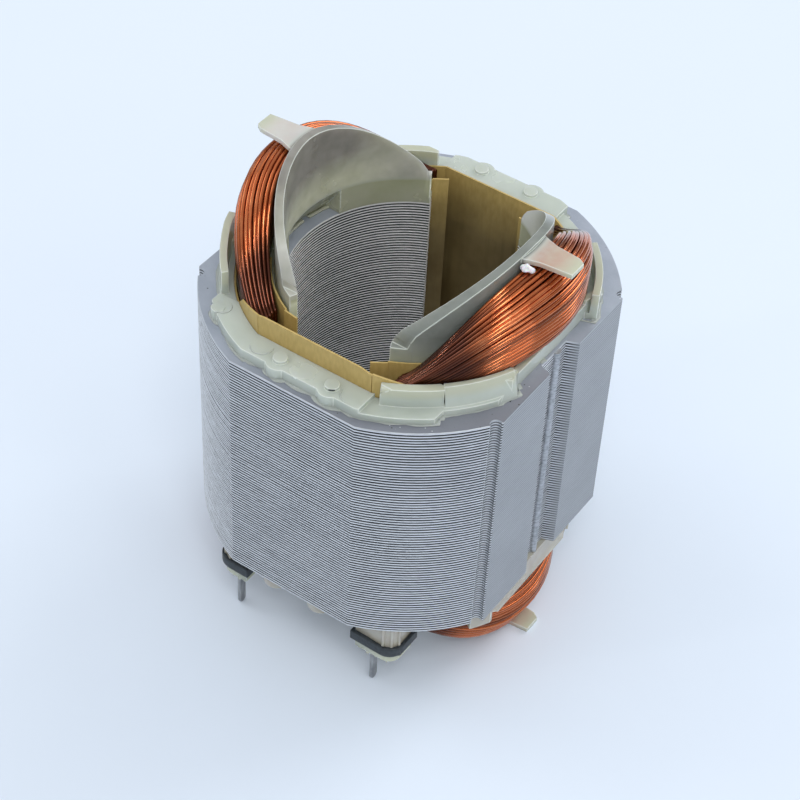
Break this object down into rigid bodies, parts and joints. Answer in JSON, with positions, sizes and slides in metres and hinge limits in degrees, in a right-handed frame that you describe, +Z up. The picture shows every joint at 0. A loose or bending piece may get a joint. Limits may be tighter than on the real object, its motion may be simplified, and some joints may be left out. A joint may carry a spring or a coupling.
{
  "type": "power tool stator",
  "caption": "Laminated steel field stator with a rotor bore, moulded insulator horns, copper coils wound on opposite poles and terminal blades under it.",
  "frame": {"origin": "on the bore's axis at the level of the lower tabs and blade tips, on which the part stands", "axes": "+Z up along the rotor bore, X through the two poles, Y through the two slot mouths"},
  "size_m": [0.0522, 0.0562, 0.0738],
  "materials": {
    "electrical_steel": "punched steel plates with bright and dark edge lines",
    "weld_metal": "dull weld bead",
    "natural_nylon": "milky translucent moulding with soft gloss",
    "enamelled_copper": "glossy amber enamel over copper wire",
    "slot_paper": "tan laminated insulation paper",
    "tinned_terminal": "dull tinned strip",
    "black_rubber": "black with a faint sheen",
    "white_resin": "hardened white drop"
  },
  "bodies": {
    "root": {"lamination_stack": "electrical_steel", "weld_seam_right": "weld_metal", "weld_seam_left": "weld_metal", "top_insulator": "natural_nylon", "bottom_insulator": "natural_nylon", "coil_right": "enamelled_copper", "coil_left": "enamelled_copper", "slot_liner_front_right": "slot_paper", "slot_liner_front_left": "slot_paper", "slot_liner_back_right": "slot_paper", "slot_liner_back_left": "slot_paper", "yoke_paper_front": "slot_paper", "yoke_paper_back": "slot_paper", "blade_front_right": "tinned_terminal", "blade_front_left": "tinned_terminal", "blade_back_right": "tinned_terminal", "blade_back_left": "tinned_terminal", "band_front_right": "black_rubber", "band_front_left": "black_rubber", "band_back_right": "black_rubber", "band_back_left": "black_rubber", "lead_front_right": "enamelled_copper", "lead_front_left": "enamelled_copper", "lead_back_right": "enamelled_copper", "lead_back_left": "enamelled_copper", "resin_drop": "white_resin"}
  },
  "joints": []
}
